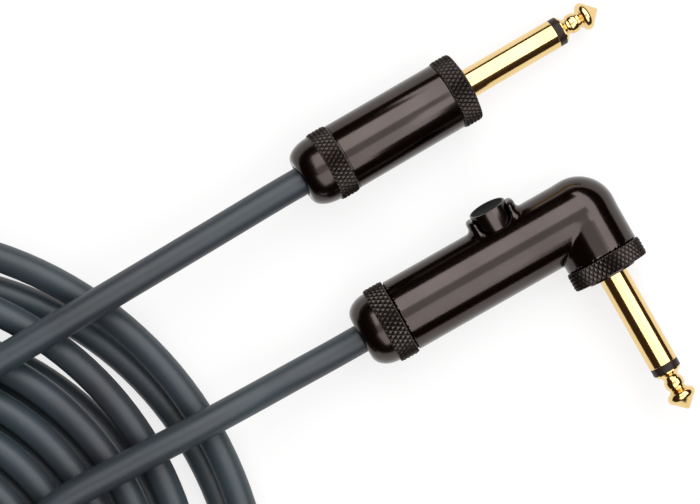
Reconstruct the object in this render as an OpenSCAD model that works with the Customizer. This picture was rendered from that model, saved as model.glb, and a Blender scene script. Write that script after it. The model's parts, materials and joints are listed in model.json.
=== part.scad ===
// Instrument cable: a straight 6.35 mm plug, a right-angle 6.35 mm plug with a push-button mute switch,
// and one cable between them, most of it lying in a round coil. Everything rests on the plane z = 0.

/* [Cable] */
// Outer diameter of the cable's jacket
cable_d = 6.2; // [5.6:0.1:6.2]
// Diameter of the insulation round the centre conductor
core_d = 2.6; // [2:0.1:3.2]
// Diameter of the bare centre conductor
conductor_d = 1; // [0.6:0.1:1.4]
// Diameter of the twisted shield wires
pigtail_d = 1.3; // [0.8:0.1:1.6]

/* [Plug shaft] */
// Diameter of the shaft
shaft_d = 6.35; // [6.2:0.05:6.5]
// Length from the shoulder to the point of the tip
reach = 32.6; // [30:0.1:36]
// Diameter of the shoulder at the root of the shaft
shoulder_d = 10.7; // [9.5:0.1:11.5]
// Length of the shoulder in front of the knurled ring
shoulder_len = 0.55; // [0.4:0.05:1.5]
// Length of the tip in front of the insulator ring
tip_len = 9.2; // [8.6:0.1:10]
// Width of the insulator ring
insulator_w = 1.65; // [1:0.05:2.4]
// Diameter of the tip's rod inside the shaft
rod_d = 2; // [1.4:0.1:2.4]
// Wall of the insulating sleeve round the rod
sleeve_wall = 0.7; // [0.5:0.1:1]
// Thickness of a solder lug
lug_t = 0.6; // [0.4:0.1:0.8]
// Thickness of the insulating washer between the lugs
washer_t = 1; // [0.6:0.1:1.4]

/* [Straight plug] */
// Diameter of the barrel
straight_barrel_d = 15; // [14.6:0.1:16]
// Height of the knurled rings above the barrel
straight_ring_proud = 0.35; // [0.2:0.05:0.8]
// Length of the barrel between the knurled rings
straight_barrel_len = 26.1; // [24:0.1:32]
// Length of the domed end cap
straight_dome_len = 5.5; // [4:0.1:7]
// Length of the rear knurled ring
straight_rear_ring_len = 4.3; // [3:0.1:5.5]
// Length of the front knurled ring
straight_front_ring_len = 4.2; // [3:0.1:5.5]

/* [Right-angle plug] */
// Diameter of the body
angle_barrel_d = 16.2; // [15.9:0.1:16.6]
// Height of the knurled rings above the body
angle_ring_proud = 0.5; // [0.4:0.05:0.6]
// Length from the cable entry to the elbow's centre
angle_body_len = 53; // [50:0.5:60]
// Length from the elbow's centre to the front ring
angle_leg_len = 10; // [9.6:0.1:14]
// Length of the domed end cap
angle_dome_len = 5; // [4:0.1:7]
// Length of the rear knurled ring
angle_rear_ring_len = 4.5; // [3:0.1:5.5]
// Length of the front knurled ring
angle_front_ring_len = 4; // [3:0.1:5.5]

/* [Shells] */
// Wall of both plug bodies
shell_wall = 1.45; // [1.2:0.05:1.6]
// Chamfer on the edges of the knurled rings
ring_chamfer = 0.35; // [0.1:0.05:0.6]
// Wall of the soft grommet round the cable
grommet_wall = 1; // [0.6:0.1:1.2]
// Length of the split clamp that grips the jacket
clamp_len = 5; // [3:0.5:6]
// Length of jacket inside each plug, from the entry
jacket_in = 16; // [15:0.5:18]

/* [Button and switch] */
// Distance from the elbow's centre back to the button's axis
button_back = 16.4; // [15:0.1:20]
// Diameter of the button
button_d = 8.15; // [7.4:0.05:8.6]
// Height of the button's top above the body's surface
button_proud = 3.3; // [3:0.1:3.8]
// Travel of the button
button_travel = 2; // [1:0.1:2.2]
// Length of the button above its retaining ears
button_len = 3.4; // [3.2:0.1:3.8]
// Span of the button's two retaining ears
button_flange_d = 9.6; // [9:0.1:9.8]
// Thickness of the button's retaining ears
button_flange_t = 0.8; // [0.5:0.1:1]
// Width of each retaining ear
button_ear_w = 4; // [3:0.1:4.4]
// Depth of the button's skirt below its ears
button_skirt = 0.4; // [0.2:0.1:0.4]
// Thickness of the dark inlay in the button's top
inlay_t = 1; // [0.6:0.1:1.4]
// Height of the boss's two humps above the body's surface
boss_proud = 2.6; // [2.6:0.1:3]
// Width of the boss across the body
boss_w = 9.5; // [9:0.1:10]
// Length of the boss along the body at its shoulders
boss_len = 11.2; // [11:0.1:12]
// Roll of the button's axis out of the horizontal
button_roll = 14.5; // [8:0.5:20]
// Diameter of the switch
switch_d = 8.4; // [7.6:0.1:8.8]
// Height of the switch
switch_h = 7.2; // [6.6:0.1:7.6]
// Diameter of the switch's plunger
plunger_d = 2.4; // [1.8:0.1:2.8]
// Outer diameter of the return spring
spring_d = 4.6; // [4.2:0.1:5.4]

/* [Lie on the surface] */
// Heading of the straight plug on the surface
straight_heading = -14.6; // [-15:0.1:-14]
// Nose-down slope of the straight plug
straight_slope = 5.5; // [5.3:0.1:5.7]
// Heading of the right-angle plug's body on the surface
angle_heading = -15.4; // [-16:0.1:-15]

/* [Coil] */
// Radius of the outermost loop
coil_r = 82.6; // [82:0.1:84]
// Step between neighbouring loops in one layer
coil_step = 7.5; // [7.4:0.02:7.7]
// Loops in the bottom layer, of 24 parts each
coil_bottom_parts = 146; // [144:1:146]
// Loops in the top layer, of 24 parts each
coil_top_parts = 136; // [134:1:136]
// Slack that sets the outermost loop off from the next
coil_slack = 6.4; // [5.5:0.1:6.6]
// How far the outermost loop is drawn in on the side away from the plugs
coil_pull = 11; // [10.5:0.1:11]
// How much less each further loop is drawn in
coil_pull_step = 0.85; // [0.8:0.01:0.9]

/* [Fits] */
// Radial clearance between fixed pieces
fixed_fit = 0.03; // [0.02:0.01:0.05]
// Radial clearance of sliding pieces
slide_fit = 0.08; // [0.04:0.01:0.1]
// Gap between faces that must not touch
face_gap = 0.3; // [0.2:0.05:0.5]

/* [Hidden] */
$fn = 48;

metal = [0.24, 0.21, 0.20];
gold = [0.90, 0.74, 0.36];
insulation = [0.24, 0.18, 0.16];
steel = [0.75, 0.75, 0.76];
copper = [0.72, 0.45, 0.28];
rubber = [0.10, 0.10, 0.11];
jacket = [0.36, 0.38, 0.42];

join = 0.01;
past = 1;
little = 0.5;

straight_ring_d = straight_barrel_d + 2 * straight_ring_proud;
angle_ring_d = angle_barrel_d + 2 * angle_ring_proud;

// ---- shaft frame: z = 0 at the shoulder's front face, +z to the tip ----
insulator_z = reach - tip_len - insulator_w;
rivet_d = 3;
rivet_t = 0.5;
sleeve_od = rod_d + 2 * sleeve_wall;
lug_d = 6.2;
lug_tab_w = 2.4;
lug_tab_len = 4.9;
washer_d = 6.8;
flange_t = 2.6;

// Place of the sleeve contact's rear face, behind the shoulder's front face
function rear_z(ring_len) = -shoulder_len - ring_len - flange_t;
function washer_z(ring_len) = rear_z(ring_len) - lug_t - washer_t;
function rod_end_z(ring_len) = washer_z(ring_len) - lug_t - rivet_t;

module tube(outer_d, inner_d, h) {
    difference() {
        cylinder(d = outer_d, h = h);
        translate([0, 0, -past])
            cylinder(d = inner_d, h = h + 2 * past);
    }
}

// Radii of the tip in front of the insulator, from its flange over the neck to the point
tip_flange_r = 2.9;
tip_waist_r = 2.1;
tip_neck_r = 1.95;
tip_neck_front_r = 2.15;
tip_head_r = 3.1;
tip_head_round = 1.15;
tip_point_r = 0.5;

// Where each of them lies in front of the insulator
tip_flange_z = 0.45;
tip_waist_z = 1;
tip_neck_z = 1.5;
tip_neck_front_z = 4.3;
tip_groove_z = 4.45;
tip_head_back_z = 4.7;
tip_head_z = 6;

module tip_contact(ring_len) {
    rotate_extrude()
        polygon(concat(
            [[0, 0], [tip_flange_r, 0], [tip_flange_r, tip_flange_z], [tip_waist_r, tip_waist_z]],
            [[tip_neck_r, tip_neck_z], [tip_neck_front_r, tip_neck_front_z]],
            [[tip_neck_r, tip_groove_z], [tip_neck_r, tip_head_back_z]],
            [for (a = [-75:15:30])
                [tip_head_r - tip_head_round * (1 - cos(a)), tip_head_z + tip_head_round * sin(a)]],
            [for (a = [45:15:90]) [tip_point_r * cos(a), tip_len - tip_point_r * (1 - sin(a))]]));
    translate([0, 0, rod_end_z(ring_len) - insulator_z - insulator_w])
        cylinder(d = rod_d, h = insulator_z + insulator_w - rod_end_z(ring_len) + join);
    translate([0, 0, rod_end_z(ring_len) - insulator_z - insulator_w])
        cylinder(d = rivet_d, h = rivet_t);
}

module shaft_tip(ring_len) {
    translate([0, 0, insulator_z + insulator_w])
        tip_contact(ring_len);
}

module shaft_insulator_ring() {
    translate([0, 0, insulator_z])
        tube(shaft_d, rod_d + 2 * fixed_fit, insulator_w);
}

module shaft_insulator_sleeve(ring_len) {
    translate([0, 0, rear_z(ring_len) - lug_t])
        tube(sleeve_od, rod_d + 2 * fixed_fit, insulator_z - rear_z(ring_len) + lug_t);
}

// Turned sleeve contact: shaft, shoulder, neck through the ring, and a flange inside the shell
module shaft_sleeve(ring_len, bore_d) {
    difference() {
        union() {
            translate([0, 0, -shoulder_len])
                cylinder(d = shaft_d, h = shoulder_len + insulator_z);
            translate([0, 0, -shoulder_len - ring_len])
                cylinder(d = shoulder_d, h = shoulder_len + ring_len);
            translate([0, 0, rear_z(ring_len)])
                cylinder(d = bore_d - 2 * fixed_fit, h = flange_t);
        }
        translate([0, 0, rear_z(ring_len) - past])
            cylinder(d = sleeve_od + 2 * fixed_fit, h = insulator_z - rear_z(ring_len) + 2 * past);
    }
}

module solder_lug(hole_d) {
    difference() {
        union() {
            cylinder(d = lug_d, h = lug_t);
            translate([0, -lug_tab_w / 2, 0])
                cube([lug_tab_len, lug_tab_w, lug_t]);
        }
        translate([0, 0, -past])
            cylinder(d = hole_d, h = lug_t + 2 * past);
    }
}

module shaft_sleeve_lug(ring_len, turn) {
    translate([0, 0, rear_z(ring_len) - lug_t])
        rotate([0, 0, turn])
            solder_lug(sleeve_od + 2 * fixed_fit);
}

module shaft_rear_washer(ring_len) {
    translate([0, 0, washer_z(ring_len)])
        tube(washer_d, rod_d + 2 * fixed_fit, washer_t);
}

module shaft_tip_lug(ring_len, turn) {
    translate([0, 0, washer_z(ring_len) - lug_t])
        rotate([0, 0, turn])
            solder_lug(rod_d + 2 * fixed_fit);
}

module knurled_ring(outer_d, hole_d, len) {
    difference() {
        rotate_extrude()
            polygon([
                [0, 0], [outer_d / 2 - ring_chamfer, 0], [outer_d / 2, ring_chamfer],
                [outer_d / 2, len - ring_chamfer], [outer_d / 2 - ring_chamfer, len], [0, len]
            ]);
        translate([0, 0, -past])
            cylinder(d = hole_d, h = len + 2 * past);
    }
}

// ---- rear frame: z = 0 at the cable entry, +z into the plug ----
spigot_wall = 1.2;
spigot_in = 4;
dome_face = 1.4;
dome_inset = 0.1;
dome_steps = 10;
grommet_lip = 0.4;
clamp_slot = 0.8;

function grommet_d() = cable_d + 2 * grommet_wall;

module dome(barrel_d, dome_len, ring_len) {
    face_r = cable_d / 2 + dome_face;
    round_r = barrel_d / 2 - dome_inset - face_r;
    bore = barrel_d - 2 * shell_wall;
    difference() {
        union() {
            rotate_extrude()
                polygon(concat(
                    [[0, dome_len], [0, 0]],
                    [for (i = [0:dome_steps])
                        [face_r + round_r * sin(90 * i / dome_steps),
                            dome_len * (1 - cos(90 * i / dome_steps))]]));
            cylinder(d = bore - 2 * fixed_fit, h = dome_len + ring_len + spigot_in);
        }
        translate([0, 0, -past])
            cylinder(d = grommet_d() + 2 * fixed_fit, h = dome_len + past);
        translate([0, 0, dome_len - join])
            cylinder(d = bore - 2 * spigot_wall, h = ring_len + spigot_in + past);
    }
}

module grommet(dome_len) {
    translate([0, 0, grommet_lip])
        tube(grommet_d(), cable_d + 2 * fixed_fit, dome_len - grommet_lip);
}

// Split clamp: a ring round the jacket with one slot along it
module cable_clamp(barrel_d, dome_len, ring_len) {
    outer = barrel_d - 2 * shell_wall - 2 * spigot_wall - 2 * fixed_fit;
    translate([0, 0, dome_len])
        difference() {
            tube(outer, cable_d + 2 * fixed_fit, clamp_len);
            translate([0, -clamp_slot / 2, -past])
                cube([outer, clamp_slot, clamp_len + 2 * past]);
        }
}

module jacket_end() {
    cylinder(d = cable_d, h = jacket_in);
}

// ---- round tubes along a path: unlike the path, up never lies along it ----
function unit(v) = v / norm(v);
function last_of(list) = list[len(list) - 1];
function along(p, i) = unit(p[min(i + 1, len(p) - 1)] - p[max(i - 1, 0)]);

// Directions of the path at its two ends are its first and last pieces', unless ends gives them
module swept(path, d, sides, up = [0, 0, 1], ends = []) {
    n = len(path);
    function heading(i) = len(ends) == 2 && i == 0 ? ends[0] : len(ends) == 2 && i == n - 1 ? ends[1]
        : along(path, i);
    points = [for (i = [0:n - 1])
        let (t = heading(i), s = unit(cross(up, t)), u = cross(t, s))
        for (k = [0:sides - 1])
            let (a = 360 * (k + 0.5) / sides) path[i] + d / 2 * (cos(a) * s + sin(a) * u)];
    function at(i, k) = i * sides + (k % sides);
    faces = concat(
        [for (i = [0:n - 2], k = [0:sides - 1]) [at(i, k), at(i + 1, k), at(i + 1, k + 1)]],
        [for (i = [0:n - 2], k = [0:sides - 1]) [at(i, k), at(i + 1, k + 1), at(i, k + 1)]],
        [for (k = [1:sides - 2]) [at(0, 0), at(0, k), at(0, k + 1)]],
        [for (k = [1:sides - 2]) [at(n - 1, 0), at(n - 1, k + 1), at(n - 1, k)]]);
    polyhedron(points, faces);
}

wire_sides = 12;
wire_landing = 1.5;

// ---- placing of the straight plug ----
straight_entry = [-27, 43, 11.7];
straight_shaft_z = straight_dome_len + straight_rear_ring_len + straight_barrel_len
    + straight_front_ring_len + shoulder_len;
straight_dir = [cos(straight_heading) * cos(straight_slope), sin(straight_heading) * cos(straight_slope),
    -sin(straight_slope)];

module at_straight() {
    translate(straight_entry)
        rotate([0, 90 + straight_slope, straight_heading])
            children();
}

module at_straight_shaft() {
    at_straight()
        translate([0, 0, straight_shaft_z])
            children();
}

straight_bore = straight_barrel_d - 2 * shell_wall;

module straight_tip_contact() {
    color(gold)
        at_straight_shaft()
            shaft_tip(straight_front_ring_len);
}

module straight_insulator_ring() {
    color(insulation)
        at_straight_shaft()
            shaft_insulator_ring();
}

module straight_insulator_sleeve() {
    color(insulation)
        at_straight_shaft()
            shaft_insulator_sleeve(straight_front_ring_len);
}

module straight_sleeve_contact() {
    color(gold)
        at_straight_shaft()
            shaft_sleeve(straight_front_ring_len, straight_bore);
}

module straight_sleeve_lug() {
    color(steel)
        at_straight_shaft()
            shaft_sleeve_lug(straight_front_ring_len, 180);
}

module straight_rear_washer() {
    color(insulation)
        at_straight_shaft()
            shaft_rear_washer(straight_front_ring_len);
}

module straight_tip_lug() {
    color(steel)
        at_straight_shaft()
            shaft_tip_lug(straight_front_ring_len, 0);
}

module straight_front_ring() {
    color(metal)
        at_straight()
            translate([0, 0, straight_shaft_z - shoulder_len - straight_front_ring_len])
                knurled_ring(straight_ring_d, shoulder_d + 2 * fixed_fit, straight_front_ring_len);
}

module straight_barrel() {
    color(metal)
        at_straight()
            translate([0, 0, straight_dome_len + straight_rear_ring_len])
                tube(straight_barrel_d, straight_bore, straight_barrel_len);
}

module straight_rear_ring() {
    color(metal)
        at_straight()
            translate([0, 0, straight_dome_len])
                knurled_ring(straight_ring_d, straight_bore, straight_rear_ring_len);
}

module straight_end_cap() {
    color(metal)
        at_straight()
            dome(straight_barrel_d, straight_dome_len, straight_rear_ring_len);
}

module straight_grommet() {
    color(rubber)
        at_straight()
            grommet(straight_dome_len);
}

module straight_cable_clamp() {
    color(insulation)
        at_straight()
            cable_clamp(straight_barrel_d, straight_dome_len, straight_rear_ring_len);
}

module straight_jacket_end() {
    color(jacket)
        at_straight()
            jacket_end();
}

straight_core_len = 6;
straight_lug_z = straight_shaft_z + washer_z(straight_front_ring_len) - lug_t;
straight_sleeve_lug_z = straight_shaft_z + rear_z(straight_front_ring_len) - lug_t;
pigtail_row = (core_d + pigtail_d) / 2 + 0.2;

module straight_core_insulation() {
    color(insulation)
        at_straight()
            translate([0, 0, jacket_in])
                tube(core_d, conductor_d, straight_core_len);
}

module straight_conductor() {
    color(copper)
        at_straight()
            swept([
                [0, 0, jacket_in + straight_core_len],
                [0, 0, jacket_in + straight_core_len + little],
                [lug_tab_len - conductor_d / 2, 0, straight_lug_z - wire_landing],
                [lug_tab_len - conductor_d / 2, 0, straight_lug_z]
            ], conductor_d, wire_sides, [0, 1, 0]);
}

module straight_shield_pigtail() {
    color(copper)
        at_straight()
            swept([
                [-pigtail_row, 0, jacket_in],
                [-pigtail_row, 0, jacket_in + straight_core_len],
                [-lug_tab_len + pigtail_d / 2, 0, straight_lug_z - wire_landing],
                [-lug_tab_len + pigtail_d / 2, 0, straight_sleeve_lug_z]
            ], pigtail_d, wire_sides, [0, 1, 0]);
}

// ---- placing of the right-angle plug: x along the body to the elbow, -y along the leg ----
elbow = [9.5, -3.5, angle_ring_d / 2];
angle_bore = angle_barrel_d - 2 * shell_wall;
angle_shaft_y = angle_leg_len + angle_front_ring_len + shoulder_len;

module at_elbow() {
    translate(elbow)
        rotate([0, 0, angle_heading])
            children();
}

module at_entry() {
    at_elbow()
        translate([-angle_body_len, 0, 0])
            rotate([0, 90, 0])
                children();
}

module at_leg() {
    at_elbow()
        rotate([90, 0, 0])
            children();
}

module at_angle_shaft() {
    at_leg()
        translate([0, 0, angle_shaft_y])
            children();
}

// Button frame: origin on the body's axis, z out along the button's axis, x along the body
module at_button() {
    at_elbow()
        translate([-button_back, 0, 0])
            rotate([button_roll - 90, 0, 0])
                children();
}

module angle_tip_contact() {
    color(gold)
        at_angle_shaft()
            shaft_tip(angle_front_ring_len);
}

module angle_insulator_ring() {
    color(insulation)
        at_angle_shaft()
            shaft_insulator_ring();
}

module angle_insulator_sleeve() {
    color(insulation)
        at_angle_shaft()
            shaft_insulator_sleeve(angle_front_ring_len);
}

module angle_sleeve_contact() {
    color(gold)
        at_angle_shaft()
            shaft_sleeve(angle_front_ring_len, angle_bore);
}

module angle_sleeve_lug() {
    color(steel)
        at_angle_shaft()
            shaft_sleeve_lug(angle_front_ring_len, -90);
}

module angle_rear_washer() {
    color(insulation)
        at_angle_shaft()
            shaft_rear_washer(angle_front_ring_len);
}

module angle_tip_lug() {
    color(steel)
        at_angle_shaft()
            shaft_tip_lug(angle_front_ring_len, 180);
}

module angle_front_ring() {
    color(metal)
        at_leg()
            translate([0, 0, angle_leg_len])
                knurled_ring(angle_ring_d, shoulder_d + 2 * fixed_fit, angle_front_ring_len);
}

// ---- boss and button heights, from the body's axis ----
body_r = angle_barrel_d / 2;
boss_top = body_r + boss_proud;
button_top = body_r + button_proud;
button_flange_top = button_top - button_len;
button_under = button_flange_top - button_flange_t;
switch_top = button_under - button_travel - little;
boss_flare = 1.5;
boss_edge = 1.1;
boss_sink = 0.4;
boss_lap = 0.05;
slot_bite = 0.3;
flare_steps = 6;

// Half outline of the boss along the body: x from the button's axis, y from the body's axis
function boss_side() = concat(
    [[0, 0], [boss_len / 2 + boss_flare, 0], [boss_len / 2 + boss_flare, body_r - boss_sink]],
    [for (i = [0:flare_steps])
        [boss_len / 2 + boss_flare - boss_flare * sin(90 * i / flare_steps),
            body_r - boss_lap + boss_flare * (1 - cos(90 * i / flare_steps))]],
    [for (i = [0:flare_steps])
        [boss_len / 2 - boss_edge + boss_edge * cos(90 * i / flare_steps),
            boss_top - boss_edge + boss_edge * sin(90 * i / flare_steps)]],
    [[0, boss_top]]);

// A band turned about the body's axis, cut to a lens that looks along the button's axis, with a slot across
// it that leaves a hump on each side of the button
module boss() {
    half = boss_len / 2 + boss_flare;
    lens_r = (half * half + boss_w * boss_w / 4) / boss_w;
    slot_w = button_d - 2 * slot_bite;
    difference() {
        intersection() {
            for (side = [0, 1])
                mirror([side, 0, 0])
                    rotate([0, 90, 0])
                        rotate_extrude()
                            polygon([for (p = boss_side()) [p[1], p[0]]]);
            translate([0, lens_r - boss_w / 2, 0])
                cylinder(r = lens_r, h = boss_top + past);
            translate([0, boss_w / 2 - lens_r, 0])
                cylinder(r = lens_r, h = boss_top + past);
        }
        translate([-slot_w / 2, -boss_w, -past])
            cube([slot_w, 2 * boss_w, boss_top + 3 * past]);
    }
}

// A disc cut down to two ears, one on each side of the button
module ears(span_d, wide, tall) {
    intersection() {
        cylinder(d = span_d, h = tall);
        translate([-span_d, -wide / 2, -past])
            cube([2 * span_d, wide, tall + 2 * past]);
    }
}

module elbow_body() {
    tube_start = angle_dome_len + angle_rear_ring_len;
    color(metal)
        difference() {
            union() {
                at_entry()
                    translate([0, 0, tube_start])
                        cylinder(d = angle_barrel_d, h = angle_body_len - tube_start);
                at_elbow()
                    sphere(d = angle_barrel_d);
                at_leg()
                    cylinder(d = angle_barrel_d, h = angle_leg_len);
                at_button()
                    boss();
            }
            at_entry()
                translate([0, 0, tube_start - past])
                    cylinder(d = angle_bore, h = angle_body_len - tube_start + past);
            at_elbow()
                sphere(d = angle_bore);
            at_leg()
                cylinder(d = angle_bore, h = angle_leg_len + past);
            at_button()
                ears(button_flange_d + 2 * slide_fit, button_ear_w + 2 * slide_fit, button_flange_top);
            at_button()
                cylinder(d = button_d + 2 * slide_fit, h = boss_top + past);
        }
}

module angle_rear_ring() {
    color(metal)
        at_entry()
            translate([0, 0, angle_dome_len])
                knurled_ring(angle_ring_d, angle_bore, angle_rear_ring_len);
}

module angle_end_cap() {
    color(metal)
        at_entry()
            dome(angle_barrel_d, angle_dome_len, angle_rear_ring_len);
}

module angle_grommet() {
    color(rubber)
        at_entry()
            grommet(angle_dome_len);
}

module angle_cable_clamp() {
    color(insulation)
        at_entry()
            cable_clamp(angle_barrel_d, angle_dome_len, angle_rear_ring_len);
}

module angle_jacket_end() {
    color(jacket)
        at_entry()
            jacket_end();
}

// ---- button ----
inlay_rim = 0.35;
dish_depth = 0.25;
dish_steps = 6;
plunger_grip = 1;
plunger_in = 3.4;

module button_cap() {
    color(metal)
        at_button()
            difference() {
                union() {
                    translate([0, 0, button_under])
                        ears(button_flange_d, button_ear_w, button_flange_t);
                    translate([0, 0, button_under - button_skirt])
                        cylinder(d = button_d, h = button_top - button_under + button_skirt);
                }
                translate([0, 0, button_under - button_skirt - past])
                    cylinder(d = spring_d + 2 * face_gap, h = button_skirt + past);
                translate([0, 0, button_top - inlay_t])
                    cylinder(d = button_d - 2 * inlay_rim, h = inlay_t + past);
                translate([0, 0, button_under - past])
                    cylinder(d = plunger_d, h = past + button_flange_t + plunger_grip);
            }
}

// Round inlay with a slightly dished top
module button_inlay() {
    inlay_r = button_d / 2 - inlay_rim - fixed_fit;
    dish_r = (inlay_r * inlay_r + dish_depth * dish_depth) / (2 * dish_depth);
    dish_angle = asin(inlay_r / dish_r);
    color(rubber)
        at_button()
            translate([0, 0, button_top - inlay_t])
                rotate_extrude()
                    polygon(concat(
                        [[0, 0], [inlay_r, 0]],
                        [for (i = [dish_steps:-1:0])
                            let (a = dish_angle * i / dish_steps)
                            [dish_r * sin(a), inlay_t - dish_depth + dish_r * (1 - cos(a))]]));
}

// ---- switch under the button ----
module switch_plunger() {
    rod_foot = switch_top - plunger_in;
    color(steel)
        at_button()
            translate([0, 0, rod_foot])
                cylinder(d = plunger_d - 2 * fixed_fit, h = button_flange_top + plunger_grip - rod_foot);
}

module return_spring() {
    color(steel)
        at_button()
            translate([0, 0, switch_top])
                tube(spring_d, plunger_d + 2 * face_gap, button_under - switch_top);
}

module switch_body() {
    color(insulation)
        at_button()
            difference() {
                translate([0, 0, switch_top - switch_h])
                    cylinder(d = switch_d, h = switch_h);
                translate([0, 0, switch_top - plunger_in - button_travel - face_gap])
                    cylinder(d = plunger_d + 2 * slide_fit, h = plunger_in + button_travel + face_gap + past);
            }
}

terminal_d = 1;
terminal_len = 1.6;
terminal_gap = 2.5;
switch_foot = switch_top - switch_h;
holder_len = 11;
holder_top = 1.5;
holder_slot = 2.2;
wire_drop = angle_bore / 2 - 1.2;

module switch_terminals() {
    color(gold)
        at_button()
            for (side = [-1, 1])
                translate([side * terminal_gap, 0, switch_foot - terminal_len])
                    cylinder(d = terminal_d, h = terminal_len);
}

// Half-round cradle in the body's bore, with a pocket for the switch and a way for the wires
module switch_holder() {
    color(rubber)
        at_button()
            difference() {
                translate([-holder_len / 2, 0, 0])
                    rotate([0, 90, 0])
                        cylinder(d = angle_bore - 2 * fixed_fit, h = holder_len);
                translate([-holder_len, -angle_bore, holder_top])
                    cube([2 * holder_len, 2 * angle_bore, angle_bore]);
                translate([0, 0, switch_foot])
                    cylinder(d = switch_d + 2 * fixed_fit, h = switch_h + past);
                translate([-holder_len, -holder_slot / 2, switch_foot - terminal_len - angle_bore])
                    cube([2 * holder_len, holder_slot, terminal_len + angle_bore + join]);
                rotate([-button_roll, 0, 0])
                    translate([-holder_len, wire_drop - holder_slot / 2, -holder_slot / 2])
                        cube([2 * holder_len, angle_bore, holder_slot]);
            }
}

// ---- wiring of the right-angle plug, in its own frame ----
// A point given in the button frame, turned into the elbow frame
function from_button(p) = [p[0] - button_back,
    p[1] * cos(button_roll - 90) - p[2] * sin(button_roll - 90),
    p[1] * sin(button_roll - 90) + p[2] * cos(button_roll - 90)];

angle_core_len = 4;
angle_jacket_x = jacket_in - angle_body_len;
angle_core_x = angle_jacket_x + angle_core_len;
angle_pigtail_len = 8;
angle_pigtail_x = angle_jacket_x + angle_pigtail_len;
holder_out = 2;
wire_d = 1.2;
tip_lug_y = -angle_shaft_y - washer_z(angle_front_ring_len) + lug_t;
sleeve_lug_y = -angle_shaft_y - rear_z(angle_front_ring_len) + lug_t;
wire_row = switch_foot - terminal_len / 2;

module angle_core_insulation() {
    color(insulation)
        at_entry()
            translate([0, 0, jacket_in])
                tube(core_d, conductor_d, angle_core_len);
}

module angle_conductor() {
    color(copper)
        at_elbow()
            swept([
                [angle_core_x, 0, 0],
                [angle_core_x + little, 0, 0],
                from_button([-holder_len / 2 - holder_out, 0, wire_row]),
                from_button([-terminal_gap - terminal_d / 2, 0, wire_row])
            ], conductor_d, wire_sides);
}

module tip_wire() {
    color(rubber)
        at_elbow()
            swept([
                from_button([terminal_gap + terminal_d / 2, 0, wire_row]),
                from_button([holder_len / 2 + holder_out / 2, 0, wire_row]),
                [-lug_tab_len + wire_d / 2, tip_lug_y + wire_landing, 0],
                [-lug_tab_len + wire_d / 2, tip_lug_y, 0]
            ], wire_d, wire_sides);
}

module angle_shield_pigtail() {
    color(copper)
        at_elbow()
            swept([
                [angle_jacket_x, 0, -pigtail_row],
                [angle_jacket_x + wire_landing, 0, -pigtail_row],
                [angle_pigtail_x - wire_landing, 0, -wire_drop],
                [angle_pigtail_x, 0, -wire_drop]
            ], pigtail_d, wire_sides);
}

module sleeve_wire() {
    color(rubber)
        at_elbow()
            swept([
                [angle_pigtail_x, 0, -wire_drop],
                [-button_back - holder_len / 2 - holder_out, 0, -wire_drop],
                [-button_back + holder_len / 2 + holder_out, 0, -wire_drop],
                [-lug_tab_w, sleeve_lug_y / 4, -wire_drop],
                [0, sleeve_lug_y + wire_landing, -lug_tab_len + wire_d / 2],
                [0, sleeve_lug_y, -lug_tab_len + wire_d / 2]
            ], wire_d, wire_sides);
}

// ---- the cable ----
coil_centre = [-157.5, 40];
coil_layer = 6.65;
coil_turn = 48;
coil_tuck = 0.8;
pull_start = 35;
pull_span = 80;
parts = 24;
tube_sides = 6;
lead_sides = 8;

function smooth(t) = let (u = min(max(t, 0), 1)) u * u * (3 - 2 * u);
function coil_radius(w, last) = coil_r - coil_step * (sqrt(w * w + 0.01) - 0.1)
    - coil_slack * smooth((abs(w) - 0.85) / 0.4) - coil_tuck * smooth((abs(w) - last + 0.2) / 0.2);
function coil_draw(w, a) = (coil_pull - coil_pull_step * abs(w))
    * smooth((abs(a - 360 * round(a / 360)) - pull_start) / pull_span);
function coil_point(w) =
    let (last = (w < 0 ? coil_bottom_parts : coil_top_parts) / parts, a = coil_turn - 360 * w,
        r = coil_radius(w, last) - coil_draw(w, a))
    [coil_centre[0] + r * cos(a), coil_centre[1] + r * sin(a),
        cable_d / 2 + coil_layer * smooth((w + 0.25) / 0.5)];
coil_turns = [for (i = [-coil_bottom_parts:coil_top_parts]) coil_point(i / parts)];

// Direction of the coil at point p, on the way to q and r
function way_in(p, q, r) = unit(3 * (q - p) - (r - q));
coil_last = len(coil_turns) - 1;
coil_start_dir = way_in(coil_turns[0], coil_turns[1], coil_turns[2]);
coil_end_dir = way_in(coil_turns[coil_last], coil_turns[coil_last - 1], coil_turns[coil_last - 2]);

angle_dir = [cos(angle_heading), sin(angle_heading), 0];
angle_entry = elbow - angle_body_len * angle_dir;
lead_out = 7;

// Routes of the two leads, from the plug to the coil
straight_route = concat(
    [straight_entry, straight_entry - lead_out * straight_dir],
    [[-51, 49, 14], [-75, 55, 16], [-98.5, 61, 16.4], [-122, 67, 16.4], [-148.1, 71.4, 16.3],
        [-161.9, 69.2, 15.2], [-171.7, 64.1, 12.6], [-179.2, 56.5, 10.6]],
    [coil_turns[coil_last]]);
angle_route = concat(
    [angle_entry, angle_entry - lead_out * angle_dir],
    [[-57, 15, 10.2], [-67, 18, 14], [-78.5, 21.5, 16.1], [-94.5, 26.5, 16.4], [-111, 31, 16.4],
        [-124, 30, 16.4], [-137.5, 25.5, 15.7], [-151.4, 21.4, 13.5], [-163.5, 22.6, 10.6],
        [-172.8, 28.3, 7.4], [-178.1, 37.5, 5], [-178.3, 47.4, 3.6], [-173.4, 57.2, 3.2], [-164, 64, 3.2]],
    [coil_turns[0]]);

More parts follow.
